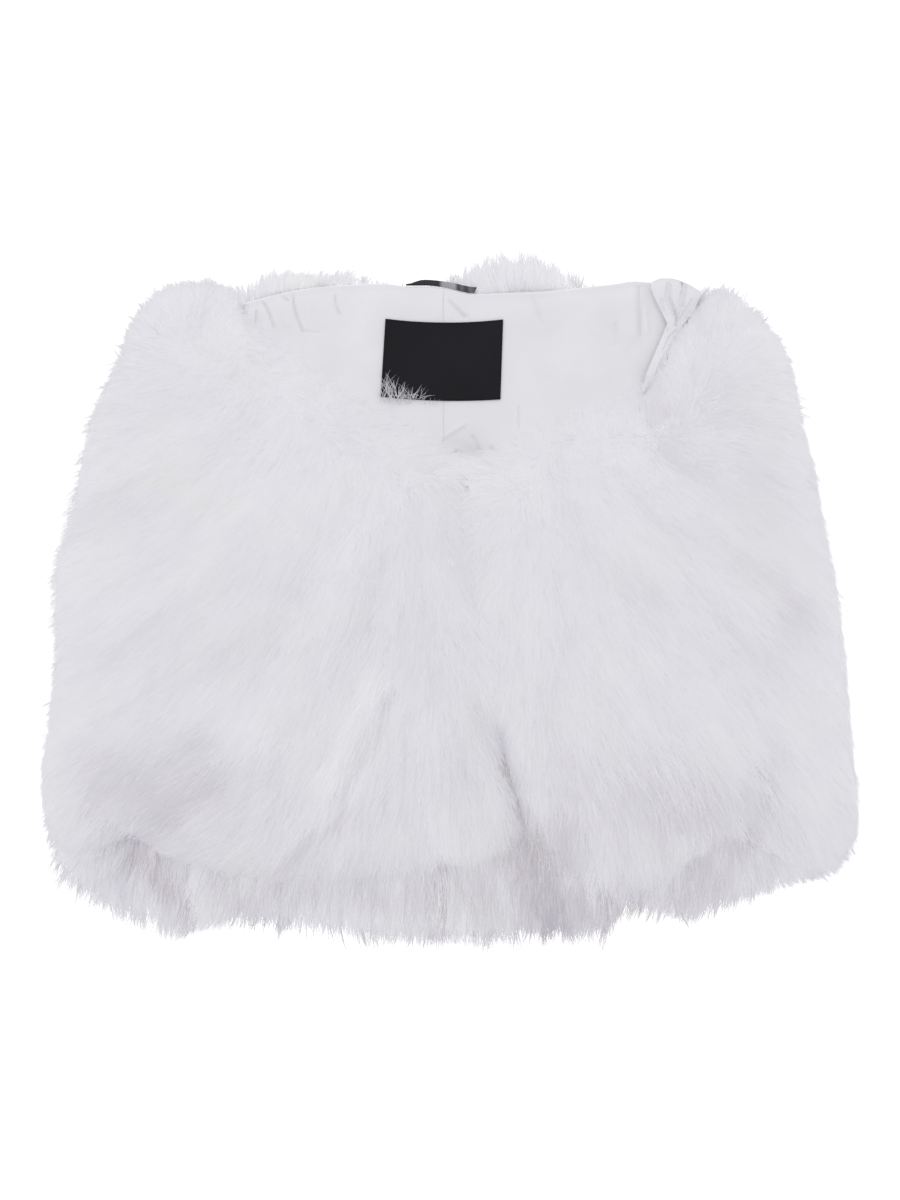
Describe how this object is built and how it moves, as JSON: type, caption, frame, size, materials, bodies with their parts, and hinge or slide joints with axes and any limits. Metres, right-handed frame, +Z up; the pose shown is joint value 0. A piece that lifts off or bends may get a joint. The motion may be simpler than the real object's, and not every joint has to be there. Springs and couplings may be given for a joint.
{
  "type": "fur stole laid flat",
  "caption": "White fur stole laid on its back, both fronts folded over to meet at the centre front, satin lining and a bare neck label in the open neck.",
  "frame": {"origin": "The point on the surface the stole lies on, under the centre of its bounding box.", "axes": "+X across the shoulders, from the left side fold to the right one as seen from above; +Y from the hem to the neck; +Z up from the surface it lies on."},
  "size_m": [0.6092, 0.5074, 0.0703],
  "materials": {
    "white_fur": "long soft white fur pile, slightly bluish, combed in loose locks",
    "white_satin": "white satin lining with a soft sheen",
    "black_label": "black woven satin label, bare",
    "black_ribbon": "black satin ribbon with a soft shine"
  },
  "bodies": {
    "root": {"back_fur": "white_fur", "front_left_fur": "white_fur", "front_right_fur": "white_fur", "back_lining_left": "white_satin", "back_lining_right": "white_satin", "front_right_facing": "white_satin", "neck_label": "black_label", "hanger_loop": "black_ribbon"}
  },
  "joints": []
}
